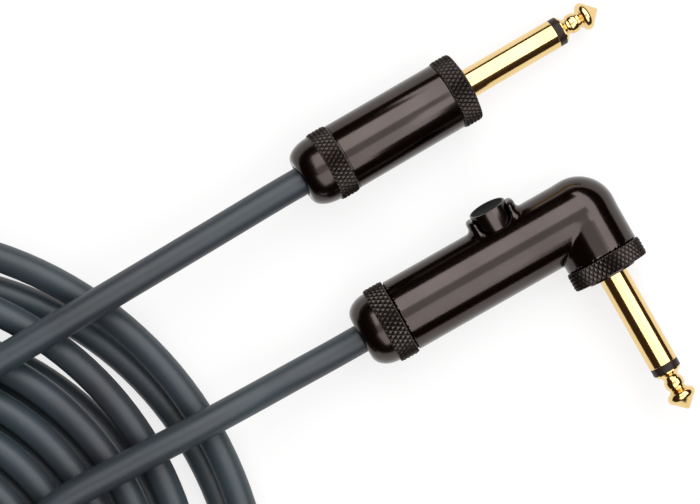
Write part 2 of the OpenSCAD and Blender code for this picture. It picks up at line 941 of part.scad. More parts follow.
// One curve through all the points, with even pieces between each two and a given direction at each end
function bent(p0, p1, p2, p3, t) = 0.5 * (2 * p1 + (p2 - p0) * t + (2 * p0 - 5 * p1 + 4 * p2 - p3) * t * t
    + (3 * p1 - p0 - 3 * p2 + p3) * t * t * t);
function curve(p, ends, cuts) =
    let (n = len(p),
        before = p[1] - 2 * norm(p[1] - p[0]) * ends[0],
        after = p[n - 2] + 2 * norm(p[n - 1] - p[n - 2]) * ends[1],
        q = concat([before], p, [after]))
    concat([for (i = [0:n - 2], k = [0:cuts - 1]) bent(q[i], q[i + 1], q[i + 2], q[i + 3], k / cuts)],
        [last_of(p)]);

function length(p) = len(p) < 2 ? 0 : [for (i = 0, s = 0; i < len(p); s = s + (i < len(p) - 1
    ? norm(p[i + 1] - p[i]) : 0), i = i + 1) s][len(p) - 1];

lead_cuts = 2;
straight_ends = [-straight_dir, coil_end_dir];
angle_ends = [-angle_dir, coil_start_dir];
straight_path = curve(straight_route, straight_ends, lead_cuts);
angle_path = curve(angle_route, angle_ends, lead_cuts);

module cable_straight_lead() {
    color(jacket)
        swept(straight_path, cable_d, lead_sides, ends = straight_ends);
}

module cable_coil() {
    color(jacket)
        swept(coil_turns, cable_d, tube_sides, ends = [coil_start_dir, -coil_end_dir]);
}

module cable_angle_lead() {
    color(jacket)
        swept(angle_path, cable_d, lead_sides, ends = angle_ends);
}

// Least gap of the coil to itself, between points at least half a loop apart
coil_gap = min([for (i = [0:coil_last], j = [i + parts / 2:1:coil_last])
    norm(coil_turns[i] - coil_turns[j])]) - cable_d;
echo(coil_gap = coil_gap);
echo(cable_length = length(straight_path) + length(coil_turns) + length(angle_path) + 2 * jacket_in);

straight_tip_contact();
straight_insulator_ring();
straight_insulator_sleeve();
straight_sleeve_contact();
straight_sleeve_lug();
straight_rear_washer();
straight_tip_lug();
straight_front_ring();
straight_barrel();
straight_rear_ring();
straight_end_cap();
straight_grommet();
straight_cable_clamp();
straight_jacket_end();
straight_core_insulation();
straight_conductor();
straight_shield_pigtail();
angle_tip_contact();
angle_insulator_ring();
angle_insulator_sleeve();
angle_sleeve_contact();
angle_sleeve_lug();
angle_rear_washer();
angle_tip_lug();
angle_front_ring();
elbow_body();
angle_rear_ring();
angle_end_cap();
angle_grommet();
angle_cable_clamp();
angle_jacket_end();
angle_core_insulation();
angle_conductor();
angle_shield_pigtail();
button_cap();
button_inlay();
switch_plunger();
return_spring();
switch_body();
switch_holder();
switch_terminals();
tip_wire();
sleeve_wire();
cable_straight_lead();
cable_coil();
cable_angle_lead();
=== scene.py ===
"""Looks of the instrument cable: the cable itself, the straight plug, the right-angle plug with its button,
and a plain white studio. Lengths are in metres, or in millimetres where a name ends in _mm."""
import json
from math import asin, cos, pi, radians, sin

import bpy
import numpy as np
from mathutils import Matrix, Vector


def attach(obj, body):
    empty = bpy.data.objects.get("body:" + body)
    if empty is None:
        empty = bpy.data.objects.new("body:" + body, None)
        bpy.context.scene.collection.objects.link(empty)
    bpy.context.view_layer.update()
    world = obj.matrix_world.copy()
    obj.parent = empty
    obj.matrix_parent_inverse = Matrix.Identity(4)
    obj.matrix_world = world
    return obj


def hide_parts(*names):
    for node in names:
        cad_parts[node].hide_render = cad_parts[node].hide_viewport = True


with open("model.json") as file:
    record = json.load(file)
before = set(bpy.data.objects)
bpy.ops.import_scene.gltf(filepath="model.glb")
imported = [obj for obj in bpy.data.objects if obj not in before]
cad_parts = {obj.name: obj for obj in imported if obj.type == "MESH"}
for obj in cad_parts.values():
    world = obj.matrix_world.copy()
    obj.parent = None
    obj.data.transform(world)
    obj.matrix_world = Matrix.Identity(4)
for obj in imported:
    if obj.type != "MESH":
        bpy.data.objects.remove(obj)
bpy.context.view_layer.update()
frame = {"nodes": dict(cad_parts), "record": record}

MM = 0.001
UP = Vector((0, 0, 1))
MOUNTS = {mount["name"]: mount for mount in frame["record"]["mounts"]}


# ---- camera: straight above the middle of the picture ----
SENSOR = 36
VIEW_CENTRE_MM = (-30.35, 25.2)
VIEW_HEIGHT_MM = 558.5
VIEW_DISTANCE_MM = 550
VIEW_WIDTH_MM = 148.3
VIEW_TURN = radians(-45)


def make_camera():
    data = bpy.data.cameras.new("camera")
    data.sensor_width = SENSOR
    data.lens = SENSOR * VIEW_DISTANCE_MM / VIEW_WIDTH_MM
    data.clip_start = 0.01
    camera = bpy.data.objects.new("camera", data)
    camera.location = Vector((*VIEW_CENTRE_MM, VIEW_HEIGHT_MM)) * MM
    camera.rotation_euler = (0, 0, VIEW_TURN)
    bpy.context.collection.objects.link(camera)
    bpy.context.scene.camera = camera


make_camera()


# ---- meshes ----
def mesh_object(name, points, faces, smooth=True, sharp=radians(35), uvs=None):
    """A mesh object from points and faces, smooth except where faces meet at more than the sharp angle."""
    mesh = bpy.data.meshes.new(name)
    mesh.from_pydata([tuple(p) for p in points], [], [tuple(f) for f in faces])
    mesh.validate()
    mesh.update()
    if uvs is not None:
        layer = mesh.uv_layers.new(name="turned")
        corners = np.array([loop.vertex_index for loop in mesh.loops])
        layer.data.foreach_set("uv", np.asarray(uvs, float)[corners].ravel())
    mesh.polygons.foreach_set("use_smooth", [smooth] * len(mesh.polygons))
    if smooth:
        mesh.set_sharp_from_angle(angle=sharp)
    obj = bpy.data.objects.new(name, mesh)
    bpy.context.collection.objects.link(obj)
    return obj


def dress(obj, material, slot, body, *replaced):
    """Gives a piece its material and body, and hides the nodes that it stands for."""
    obj.data.materials.append(material)
    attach(obj, body)
    if replaced:
        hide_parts(*replaced)


FLAT_CORNER = radians(160)
CORNER_SHARE = 0.49
CORNER_STEPS = 3


def soften(outline, radius):
    """Rounds the corners of a closed outline of (z, r) points. Those on the axis or nearly flat stay."""
    points = [Vector(p) for p in outline]
    softened = []
    for i, p in enumerate(points):
        back = points[i - 1] - p
        ahead = points[(i + 1) % len(points)] - p
        if p[1] == 0 or back.length * ahead.length == 0 or back.angle(ahead) > FLAT_CORNER:
            softened.append(p)
            continue
        cut = min(radius, back.length * CORNER_SHARE, ahead.length * CORNER_SHARE)
        a = p + back.normalized() * cut
        b = p + ahead.normalized() * cut
        for k in range(CORNER_STEPS + 1):
            t = k / CORNER_STEPS
            softened.append(a * (1 - t) ** 2 + p * 2 * t * (1 - t) + b * t ** 2)
    return softened


TURN_STEPS = 120


def lathe(name, outline, place):
    """Turns an outline of (z, r) points round the z axis of place. On the axis itself it is left open."""
    points, rings, uvs = [], [], []
    for z, r in outline:
        if r == 0:
            rings.append([len(points)])
            points.append((0, 0, z))
            uvs.append((0.5, z))
            continue
        rings.append(range(len(points), len(points) + TURN_STEPS))
        for k in range(TURN_STEPS):
            angle = 2 * pi * k / TURN_STEPS
            points.append((r * cos(angle), r * sin(angle), z))
            uvs.append((k / TURN_STEPS, z))
    faces = []
    closed = all(r > 0 for _, r in outline)
    for i in range(len(rings) - (0 if closed else 1)):
        a, b = rings[i], rings[(i + 1) % len(rings)]
        if len(a) == 1 and len(b) == 1:
            continue
        for k in range(TURN_STEPS):
            n = (k + 1) % TURN_STEPS
            if len(a) == 1:
                faces.append((a[0], b[n], b[k]))
            elif len(b) == 1:
                faces.append((a[k], a[n], b[0]))
            else:
                faces.append((a[k], a[n], b[n], b[k]))
    return mesh_object(name, [place @ Vector(p) for p in points], faces, uvs=uvs)


def span(node, place):
    """Lowest and highest place of a node along the z axis of place, and its greatest radius there."""
    mesh = frame["nodes"][node].data
    flat = np.empty(3 * len(mesh.vertices))
    mesh.vertices.foreach_get("co", flat)
    back = np.array(place.inverted())
    local = flat.reshape(-1, 3) @ back[:3, :3].T + back[:3, 3]
    return local[:, 2].min(), local[:, 2].max(), np.hypot(local[:, 0], local[:, 1]).max()


def axes_place(origin, z_axis, x_axis):
    """A place with the given origin and z axis, and its x axis as near as it can be to x_axis."""
    z = Vector(z_axis).normalized()
    x = Vector(x_axis)
    x = (x - z * x.dot(z)).normalized()
    turn = Matrix((x, z.cross(x), z)).transposed()
    return Matrix.Translation(origin) @ turn.to_4x4()


# ---- materials ----
def new_tree(name):
    material = bpy.data.materials.new(name)
    material.use_nodes = True
    tree = material.node_tree
    return material, tree, tree.nodes["Principled BSDF"]


def link_math(tree, operation, *values):
    """A math node fed by sockets or by plain numbers."""
    node = tree.nodes.new("ShaderNodeMath")
    node.operation = operation
    for slot, value in zip(node.inputs, values):
        if isinstance(value, (int, float)):
            slot.default_value = value
        else:
            tree.links.new(value, slot)
    return node.outputs[0]


def noise(tree, coordinates, scale, detail, stretch=(1, 1, 1)):
    """A noise in object or UV coordinates, stretched along the axes."""
    source = tree.nodes.new("ShaderNodeTexCoord")
    mapping = tree.nodes.new("ShaderNodeMapping")
    mapping.inputs["Scale"].default_value = stretch
    texture = tree.nodes.new("ShaderNodeTexNoise")
    texture.inputs["Scale"].default_value = scale
    texture.inputs["Detail"].default_value = detail
    tree.links.new(source.outputs[coordinates], mapping.inputs["Vector"])
    tree.links.new(mapping.outputs["Vector"], texture.inputs["Vector"])
    return texture.outputs["Fac"]


NOISE_LOW = 0.3
NOISE_HIGH = 0.7


def spread(tree, value, low, high):
    """Maps a noise on to the range from low to high."""
    node = tree.nodes.new("ShaderNodeMapRange")
    node.inputs["From Min"].default_value = NOISE_LOW
    node.inputs["From Max"].default_value = NOISE_HIGH
    node.inputs["To Min"].default_value = low
    node.inputs["To Max"].default_value = high
    tree.links.new(value, node.inputs["Value"])
    return node.outputs["Result"]


def blend_colours(tree, factor, a, b):
    node = tree.nodes.new("ShaderNodeMix")
    node.data_type = "RGBA"
    tree.links.new(factor, node.inputs[0])
    node.inputs[6].default_value = (*a, 1)
    node.inputs[7].default_value = (*b, 1)
    return node.outputs[2]


def bump(tree, shader, height, strength, distance):
    node = tree.nodes.new("ShaderNodeBump")
    node.inputs["Strength"].default_value = strength
    node.inputs["Distance"].default_value = distance
    tree.links.new(height, node.inputs["Height"])
    tree.links.new(node.outputs["Normal"], shader.inputs["Normal"])


def surface(name, dark, light, metallic, rough, grain, relief, coordinates="Object", stretch=(1, 1, 1),
            patches=90, specular=0.5):
    """Two shades in soft patches, with roughness and relief from a finer grain. Scales are per metre."""
    material, tree, shader = new_tree(name)
    shader.inputs["Metallic"].default_value = metallic
    shader.inputs["Specular IOR Level"].default_value = specular
    patch = spread(tree, noise(tree, "Object", patches, 3), 0, 1)
    tree.links.new(blend_colours(tree, patch, dark, light), shader.inputs["Base Color"])
    fine = noise(tree, coordinates, grain, 5, stretch)
    tree.links.new(spread(tree, fine, *rough), shader.inputs["Roughness"])
    bump(tree, shader, fine, 1, relief)
    return material


TURNED_GRAIN = (6, 9000, 1)


def turned_metal(name, dark, light, rough, relief):
    """Plated metal that was turned: the grain runs round the axis."""
    return surface(name, dark, light, 1, rough, 1, relief, "UV", TURNED_GRAIN)


# Knurl colours: painted shade in the grooves, and rubbed wear with a painted highlight on the points.
KNURL_GROOVE_SHADE = (0.016, 0.013, 0.012)
KNURL_POINT_WEAR_AND_HIGHLIGHT = (0.150, 0.126, 0.116)
KNURL_WEAR = (0.7, 1)
KNURL_ROUGH = (0.3, 0.45)
KNURL_RELIEF = 0.00001


def knurled_metal():
    """Painted shade darkens the grooves, and the points are paler from rubbed wear and a painted highlight,
    both from the mesh's own height.
    """
    material, tree, shader = new_tree("knurled_metal")
    shader.inputs["Metallic"].default_value = 1
    height = tree.nodes.new("ShaderNodeAttribute")
    height.attribute_name = "height"
    wear = spread(tree, noise(tree, "Object", 900, 3), *KNURL_WEAR)
    shade_and_wear = link_math(tree, "MULTIPLY", height.outputs["Fac"], wear)
    tree.links.new(blend_colours(tree, shade_and_wear, KNURL_GROOVE_SHADE, KNURL_POINT_WEAR_AND_HIGHLIGHT), shader.inputs["Base Color"])
    fine = noise(tree, "Object", 5000, 4)
    tree.links.new(spread(tree, fine, *KNURL_ROUGH), shader.inputs["Roughness"])
    bump(tree, shader, fine, 1, KNURL_RELIEF)
    return material


GUNMETAL = ((0.060, 0.049, 0.046), (0.075, 0.062, 0.058))
barrel_metal = turned_metal("barrel_metal", *GUNMETAL, (0.12, 0.17), 0.0000008)
cap_metal = turned_metal("cap_metal", *GUNMETAL, (0.17, 0.22), 0.0000003)
cast_metal = surface("elbow_metal", *GUNMETAL, 1, (0.12, 0.17), 1400, 0.0000015)
knurl = knurled_metal()
button_metal = turned_metal("button_metal", (0.070, 0.058, 0.055), (0.088, 0.074, 0.070), (0.16, 0.24),
                            0.0000015)
gold_plate = turned_metal("gold_plate", (0.80, 0.57, 0.24), (0.87, 0.64, 0.30), (0.09, 0.15), 0.000001)
dark_plastic = surface("dark_plastic", (0.016, 0.009, 0.007), (0.028, 0.017, 0.013), 0, (0.3, 0.42), 2500,
                       0.00001, patches=500, specular=0.25)
dark_rubber = surface("dark_rubber", (0.012, 0.012, 0.013), (0.022, 0.022, 0.024), 0, (0.32, 0.46), 3500,
                      0.000012, patches=600)
inlay_black = surface("inlay_black", (0.006, 0.006, 0.006), (0.012, 0.012, 0.012), 0, (0.5, 0.62), 3500,
                      0.00001, patches=600, specular=0.02)
jacket = surface("cable_jacket", (0.028, 0.030, 0.038), (0.037, 0.056, 0.068), 0, (0.36, 0.48), 5200,
                 0.000035, patches=28, specular=0.6)
copper = surface("copper", (0.62, 0.30, 0.16), (0.80, 0.44, 0.26), 1, (0.25, 0.4), 3000,
                 0.00002, patches=1500)
tinned_steel = surface("tinned_steel", (0.52, 0.52, 0.52), (0.66, 0.66, 0.65), 1, (0.3, 0.45), 2600,
                       0.00001, patches=700)
spring_steel = surface("spring_steel", (0.50, 0.50, 0.51), (0.60, 0.60, 0.61), 1, (0.2, 0.3), 4000,
                       0.000005, patches=700)

SLOT_MATERIALS = {
    "barrel_metal": barrel_metal, "knurled_metal": knurl, "button_metal": button_metal,
    "gold_plate": gold_plate, "dark_plastic": dark_plastic, "dark_rubber": dark_rubber,
    "cable_jacket": jacket, "copper": copper, "tinned_steel": tinned_steel, "spring_steel": spring_steel,
}


def dress_nodes():
    """The pieces inside the plugs stay as the frame has them, with the same materials as the rest."""
    slots = {part["node"]: part["material_slot"] for part in frame["record"]["subparts"]}
    for name, obj in frame["nodes"].items():
        obj.data.materials.clear()
        obj.data.materials.append(SLOT_MATERIALS[slots[name]])


dress_nodes()

# ---- the cable: one tube along the straight plug's lead, the coil and the right-angle plug's lead ----
CABLE_D = 0.0062
COIL_CENTRE = (-0.1575, 0.040)
COIL_R = 0.0826
COIL_STEP = 0.0075
COIL_BLUNT = 0.01
COIL_SLACK = 0.0064
SLACK_START = 0.85
SLACK_SPAN = 0.4
COIL_TUCK = 0.0008
TUCK_SPAN = 0.2
COIL_LAYER = 0.00665
LAYER_SPAN = 0.5
COIL_PULL = 0.011
COIL_PULL_STEP = 0.00085
PULL_START = 35
PULL_SPAN = 80
COIL_TURN = 48
LOOP_PARTS = 24
BOTTOM_LOOPS = 146 / LOOP_PARTS
TOP_LOOPS = 136 / LOOP_PARTS
FINE_PARTS = 144
STRAIGHT_ENTRY = Vector((-0.027, 0.043, 0.0117))
STRAIGHT_AXIS = Vector(MOUNTS["straight_shaft"]["axis"])
ELBOW = Vector((0.0095, -0.0035, 0.0086))
LEG_AXIS = Vector(MOUNTS["angle_shaft"]["axis"])
BODY_AXIS = UP.cross(LEG_AXIS).normalized()
BODY_LEN = 0.053
ANGLE_ENTRY = ELBOW - BODY_LEN * BODY_AXIS
LEAD_OUT = 0.007
CABLE_IN = 0.002
STRAIGHT_POINTS = [
    (-0.051, 0.049, 0.014), (-0.075, 0.055, 0.016), (-0.0985, 0.061, 0.0164), (-0.122, 0.067, 0.0164),
    (-0.1481, 0.0714, 0.0163), (-0.1619, 0.0692, 0.0152), (-0.1717, 0.0641, 0.0126),
    (-0.1792, 0.0565, 0.0106),
]
ANGLE_POINTS = [
    (-0.057, 0.015, 0.0102), (-0.067, 0.018, 0.014), (-0.0785, 0.0215, 0.0161), (-0.0945, 0.0265, 0.0164),
    (-0.111, 0.031, 0.0164), (-0.124, 0.030, 0.0164), (-0.1375, 0.0255, 0.0157), (-0.1514, 0.0214, 0.0135),
    (-0.1635, 0.0226, 0.0106), (-0.1728, 0.0283, 0.0074), (-0.1781, 0.0375, 0.005), (-0.1783, 0.0474, 0.0036),
    (-0.1734, 0.0572, 0.0032), (-0.164, 0.064, 0.0032),
]
LEAD_CUTS = 8
CABLE_SIDES = 24


def smooth_step(t):
    u = min(max(t, 0), 1)
    return u * u * (3 - 2 * u)


def coil_point(loop):
    """A point of the coil, loop turns from the place where the bottom layer passes into the top one."""
    last = BOTTOM_LOOPS if loop < 0 else TOP_LOOPS
    r = COIL_R - COIL_STEP * ((loop * loop + COIL_BLUNT) ** 0.5 - COIL_BLUNT ** 0.5)
    r -= COIL_SLACK * smooth_step((abs(loop) - SLACK_START) / SLACK_SPAN)
    r -= COIL_TUCK * smooth_step((abs(loop) - last + TUCK_SPAN) / TUCK_SPAN)
    heading = COIL_TURN - 360 * loop
    away = abs(heading - 360 * round(heading / 360))
    r -= (COIL_PULL - COIL_PULL_STEP * abs(loop)) * smooth_step((away - PULL_START) / PULL_SPAN)
    angle = radians(heading)
    z = CABLE_D / 2 + COIL_LAYER * smooth_step((loop + LAYER_SPAN / 2) / LAYER_SPAN)
    return Vector((COIL_CENTRE[0] + r * cos(angle), COIL_CENTRE[1] + r * sin(angle), z))


def bent(p0, p1, p2, p3, t):
    """A point from p1 to p2 on the smooth curve through all four."""
    return 0.5 * (2 * p1 + (p2 - p0) * t + (2 * p0 - 5 * p1 + 4 * p2 - p3) * t * t
                  + (3 * p1 - p0 - 3 * p2 + p3) * t ** 3)


def curve_through(points, start_dir, end_dir):
    """A smooth curve through the points with a given direction at each end."""
    p = [Vector(point) for point in points]
    before = p[1] - 2 * (p[1] - p[0]).length * start_dir
    after = p[-2] + 2 * (p[-1] - p[-2]).length * end_dir
    q = [before] + p + [after]
    out = []
    for i in range(len(p) - 1):
        out += [bent(q[i], q[i + 1], q[i + 2], q[i + 3], k / LEAD_CUTS) for k in range(LEAD_CUTS)]
    return out + [p[-1]]


def cable_route():
    """The cable's middle line, from inside the straight plug's mouth to the right-angle plug's mouth."""
    first, last = round(-BOTTOM_LOOPS * FINE_PARTS), round(TOP_LOOPS * FINE_PARTS)
    coil = [coil_point(i / FINE_PARTS) for i in range(first, last + 1)]
    into_top = (coil[-2] - coil[-1]).normalized()
    into_bottom = (coil[1] - coil[0]).normalized()
    straight = curve_through(
        [STRAIGHT_ENTRY, STRAIGHT_ENTRY - LEAD_OUT * STRAIGHT_AXIS] + STRAIGHT_POINTS + [coil[-1]],
        -STRAIGHT_AXIS, into_top)
    angled = curve_through(
        [ANGLE_ENTRY, ANGLE_ENTRY - LEAD_OUT * BODY_AXIS] + ANGLE_POINTS + [coil[0]],
        -BODY_AXIS, into_bottom)
    return [STRAIGHT_ENTRY + CABLE_IN * STRAIGHT_AXIS] + straight + coil[::-1][1:-1] + angled[::-1]


def tube_along(name, route, diameter, sides):
    """A round tube along the route. Its UVs run along it in metres and once round it."""
    route = np.array([tuple(p) for p in route])
    ahead = np.gradient(route, axis=0)
    ahead /= np.linalg.norm(ahead, axis=1)[:, None]
    side = np.cross((0, 0, 1), ahead)
    side /= np.linalg.norm(side, axis=1)[:, None]
    above = np.cross(ahead, side)
    angles = 2 * pi * np.arange(sides) / sides
    rings = route[:, None] + diameter / 2 * (
        np.cos(angles)[None, :, None] * side[:, None] + np.sin(angles)[None, :, None] * above[:, None])
    steps = np.linalg.norm(np.diff(route, axis=0), axis=1)
    along = np.concatenate([[0], np.cumsum(steps)])
    uvs = np.stack(np.broadcast_arrays(np.arange(sides)[None] / sides, along[:, None]), axis=-1)
    faces = []
    for i in range(len(route) - 1):
        a, b = i * sides, (i + 1) * sides
        faces += [(a + k, a + (k + 1) % sides, b + (k + 1) % sides, b + k) for k in range(sides)]
    faces.append(tuple(range(sides))[::-1])
    faces.append(tuple(range(len(route) * sides - sides, len(route) * sides)))
    obj = mesh_object(name, rings.reshape(-1, 3), faces, sharp=radians(60), uvs=uvs.reshape(-1, 2))
    return obj, along[-1]


route = cable_route()
cable, cable_length = tube_along("cable", route, CABLE_D, CABLE_SIDES)
dress(cable, jacket, "cable_jacket", "cable", "cable_straight_lead", "cable_coil", "cable_angle_lead")


# ---- turned pieces that both plugs have ----
SHAFT_R = MOUNTS["straight_shaft"]["dims"]["r_mm"] * MM
TIP_RADII_MM = {
    "flange": 2.9, "waist": 1.95, "neck": 1.72, "bead": 2.15, "head": 3.1, "round": 1.15, "point": 0.5,
}
TIP_PLACES_MM = {"flange": 0.5, "waist": 1.05, "neck": 1.55, "bead": 2.95, "bead_half": 1.0, "head": 6}
TIP_EDGE = 0.0002
TIP_TAIL = 0.0005
BEAD_FULLNESS = 0.6
BEAD_FOOT = 0.0004
ROD_R = 0.001
KNURLS_ROUND = 46
KNURL_ROWS = 2.5
KNURL_HALF = 3
KNURL_DEPTH = 0.00032
KNURL_GAIN = 1.04
RING_CHAMFER = 0.0003
PLAIN_FACE = 0.4
BARREL_EDGE = 0.00012
GAP_W = 0.00025
GAP_DEPTH = 0.0004


def tip_outline(length):
    """The tip in front of its insulator: flange, waist, neck, groove, round head and cone."""
    r = {key: value * MM for key, value in TIP_RADII_MM.items()}
    z = {key: value * MM for key, value in TIP_PLACES_MM.items()}
    outline = [(-TIP_TAIL, ROD_R), (0, ROD_R), (0, r["flange"] - TIP_EDGE),
               (TIP_EDGE / 2, r["flange"] - TIP_EDGE / 4),
               (z["flange"] - TIP_EDGE, r["flange"]), (z["flange"], r["flange"] - TIP_EDGE),
               (z["waist"], r["waist"]), (z["neck"], r["neck"])]
    rise = r["bead"] - r["neck"]
    for degrees in range(-90, 91, 15):
        angle = radians(degrees)
        outline.append((z["bead"] + z["bead_half"] * sin(angle),
                        r["neck"] + rise * cos(angle) ** BEAD_FULLNESS))
    outline.append((z["bead"] + z["bead_half"] + BEAD_FOOT, r["neck"]))
    centre = r["head"] - r["round"]
    for degrees in range(-78, 37, 6):
        angle = radians(degrees)
        outline.append((z["head"] + r["round"] * sin(angle), centre + r["round"] * cos(angle)))
    for degrees in range(42, 85, 6):
        angle = radians(degrees)
        outline.append((length - r["point"] * (1 - sin(angle)), r["point"] * cos(angle)))
    return [(-TIP_TAIL, 0)] + outline + [(length, 0)]


def knurled_ring(name, place, z0, z1, radius, hole_r):
    """A knurled ring: crossed helical grooves leave blunt diamonds, and both edges are chamfered."""
    columns = KNURLS_ROUND * 2 * KNURL_HALF
    lines = round(KNURL_ROWS * 2 * KNURL_HALF)
    rows = lines + 1
    length = z1 - z0
    period = 2 * KNURL_HALF

    def groove(t):
        return 1 - np.abs(2 * (t % 1) - 1)

    u, v = np.meshgrid(np.arange(columns), np.arange(rows), indexing="ij")
    height = np.minimum(groove((u + v) / period), groove((u - v) / period))
    height = np.minimum(height * KNURL_GAIN, 1)
    z = length * v / lines
    edge = np.maximum(0, RING_CHAMFER - np.minimum(z, length - z))
    turned_off = edge > KNURL_DEPTH * (1 - height)
    r = radius - np.maximum(KNURL_DEPTH * (1 - height), edge)
    angle = 2 * pi * u / columns
    points = np.stack([r * np.cos(angle), r * np.sin(angle), z + z0], axis=-1).reshape(-1, 3)
    count = columns * rows
    faces = []
    for i in range(columns):
        n = (i + 1) % columns
        for j in range(lines):
            a, b = i * rows + j, n * rows + j
            c, d = b + 1, a + 1
            if groove((i + j + 1) / period) < groove((i - j) / period):
                faces += [(a, b, d), (b, c, d)]
            else:
                faces += [(a, b, c), (a, c, d)]
        low, high = count + 2 * i, count + 2 * n
        faces.append((i * rows, low, high, n * rows))
        faces.append((i * rows + lines, n * rows + lines, high + 1, low + 1))
        faces.append((low, low + 1, high + 1, high))
    turns = 2 * pi * np.arange(columns) / columns
    hole = (hole_r * np.cos(turns), hole_r * np.sin(turns))
    bore = np.stack([np.stack([*hole, np.full(columns, end)], axis=-1) for end in (z0, z1)], axis=1)
    points = np.concatenate([points, bore.reshape(-1, 3)])
    obj = mesh_object(name, [place @ Vector(p) for p in points], faces, smooth=False)
    # The height attribute drives the painted groove shade and painted point highlight; chamfers and end faces
    # get one plain middle value.
    shade = obj.data.attributes.new("height", "FLOAT", "POINT")
    shade_and_wear = np.where(turned_off, PLAIN_FACE, height)
    shade.data.foreach_set("value", np.concatenate([shade_and_wear.ravel(), np.full(2 * columns, PLAIN_FACE)]))
    return obj


def tube_outline(z0, z1, outer, inner, edge):
    return soften([(z0, inner), (z0, outer), (z1, outer), (z1, inner)], edge)


# ---- a plug's shaft and rear, which both plugs have ----
SHELL_WALL = 0.00145
SPIGOT_WALL = 0.0012
DOME_FACE = 0.0014
DOME_INSET = 0.0001
DOME_STEP = 6
MOUTH_EDGE = 0.00025
MOUTH_GAP = 0.0003
GROMMET_INSET = 0.0002
GROMMET_CLEAR = 0.00002
JACKET_CLEAR = 0.00003
RING_CLEAR = 0.00003
SHAFT_EDGE = 0.00012
COLLAR_CLEAR = 0.00001
INSULATOR_EDGE = 0.00008
GROMMET_EDGE = 0.00008
SHOULDER_D = 0.0107
COLLAR_DEPTH = 0.0008
SLEEVE_WALL = 0.0007
INSULATOR_INSET = 0.00005


def make_shaft(prefix, place):
    """Tip, insulator ring, dark shoulder and sleeve contact, along the z axis of place."""
    tip = prefix + "_tip_contact"
    _, tip_end, _ = span(tip, place)
    ring0, ring1, _ = span(prefix + "_insulator_ring", place)
    sleeve0, sleeve1, flange_r = span(prefix + "_sleeve_contact", place)
    front0, front1, _ = span(prefix + "_front_ring", place)
    shoulder_r = SHOULDER_D / 2
    bore = ROD_R + SLEEVE_WALL
    shoulder = sleeve1 - (MOUNTS[prefix + "_shaft"]["dims"]["length_mm"] * MM - (ring1 - ring0))
    lathe_piece(prefix + "_tip", [(z + ring1, r) for z, r in tip_outline(tip_end - ring1)], place,
                gold_plate, "gold_plate", tip)
    insulator = tube_outline(ring0, ring1, SHAFT_R - INSULATOR_INSET, ROD_R, INSULATOR_EDGE)
    lathe_piece(prefix + "_insulator", insulator, place, dark_plastic, "dark_plastic",
                prefix + "_insulator_ring")
    collar = front1 - COLLAR_DEPTH
    outline = [(sleeve0, bore), (sleeve0, flange_r), (front0, flange_r), (front0, shoulder_r),
               (collar, shoulder_r), (collar, SHAFT_R), (sleeve1, SHAFT_R), (sleeve1, bore)]
    dark = tube_outline(collar, shoulder, shoulder_r, SHAFT_R + COLLAR_CLEAR, SHAFT_EDGE)
    lathe_piece(prefix + "_shoulder", dark, place, barrel_metal, "barrel_metal")
    lathe_piece(prefix + "_sleeve", soften(outline, SHAFT_EDGE), place, gold_plate, "gold_plate",
                prefix + "_sleeve_contact")


def lathe_piece(name, outline, place, material, slot, *replaced, body="cable"):
    dress(lathe(name, outline, place), material, slot, body, *replaced)


def ring_piece(node, place, hole_r):
    z0, z1, radius = span(node, place)
    obj = knurled_ring(node + "_knurled", place, z0, z1, radius, hole_r)
    dress(obj, knurl, "knurled_metal", "cable", node)


def make_rear(prefix, place, barrel_r):
    """Rear ring, domed cap and grommet. The cap's spigot runs on under the ring."""
    cap0, cap1, _ = span(prefix + "_end_cap", place)
    ring0, _, _ = span(prefix + "_rear_ring", place)
    spigot_r = barrel_r - SHELL_WALL
    ring_piece(prefix + "_rear_ring", place, spigot_r)
    face_r = CABLE_D / 2 + DOME_FACE
    mouth_r = CABLE_D / 2 + MOUTH_GAP
    round_r = barrel_r - DOME_INSET - face_r
    length = ring0 - cap0
    outline = [(cap0 + MOUTH_EDGE, mouth_r), (cap0, mouth_r + MOUTH_EDGE), (cap0, face_r)]
    outline += [(cap0 + length * (1 - cos(radians(a))), face_r + round_r * sin(radians(a)))
                for a in range(DOME_STEP, 91, DOME_STEP)]
    inner_r = spigot_r - SPIGOT_WALL
    outline += [(ring0, spigot_r), (cap1, spigot_r), (cap1, inner_r), (ring0, inner_r), (ring0, mouth_r)]
    lathe_piece(prefix + "_cap", outline, place, cap_metal, "barrel_metal", prefix + "_end_cap")
    grommet = tube_outline(cap0 + GROMMET_INSET, ring0, mouth_r - GROMMET_CLEAR, CABLE_D / 2 + JACKET_CLEAR,
                           GROMMET_EDGE)
    lathe_piece(prefix + "_mouth", grommet, place, dark_rubber, "dark_rubber", prefix + "_grommet")


# ---- straight plug ----
straight_place = axes_place(MOUNTS["straight_shaft"]["pos_m"], STRAIGHT_AXIS, UP.cross(STRAIGHT_AXIS))


def make_straight_plug():
    barrel0, barrel1, barrel_r = span("straight_barrel", straight_place)
    make_shaft("straight", straight_place)
    ring_piece("straight_front_ring", straight_place, SHOULDER_D / 2 + RING_CLEAR)
    make_rear("straight", straight_place, barrel_r)
    neck_r = barrel_r - GAP_DEPTH
    inner_r = barrel_r - SHELL_WALL
    outline = [(barrel0, inner_r), (barrel0, neck_r), (barrel0 + GAP_W, neck_r), (barrel0 + GAP_W, barrel_r),
               (barrel1 - GAP_W, barrel_r), (barrel1 - GAP_W, neck_r), (barrel1, neck_r), (barrel1, inner_r)]
    lathe_piece("straight_barrel_shell", soften(outline, BARREL_EDGE / 2), straight_place, barrel_metal,
                "barrel_metal", "straight_barrel")


make_straight_plug()

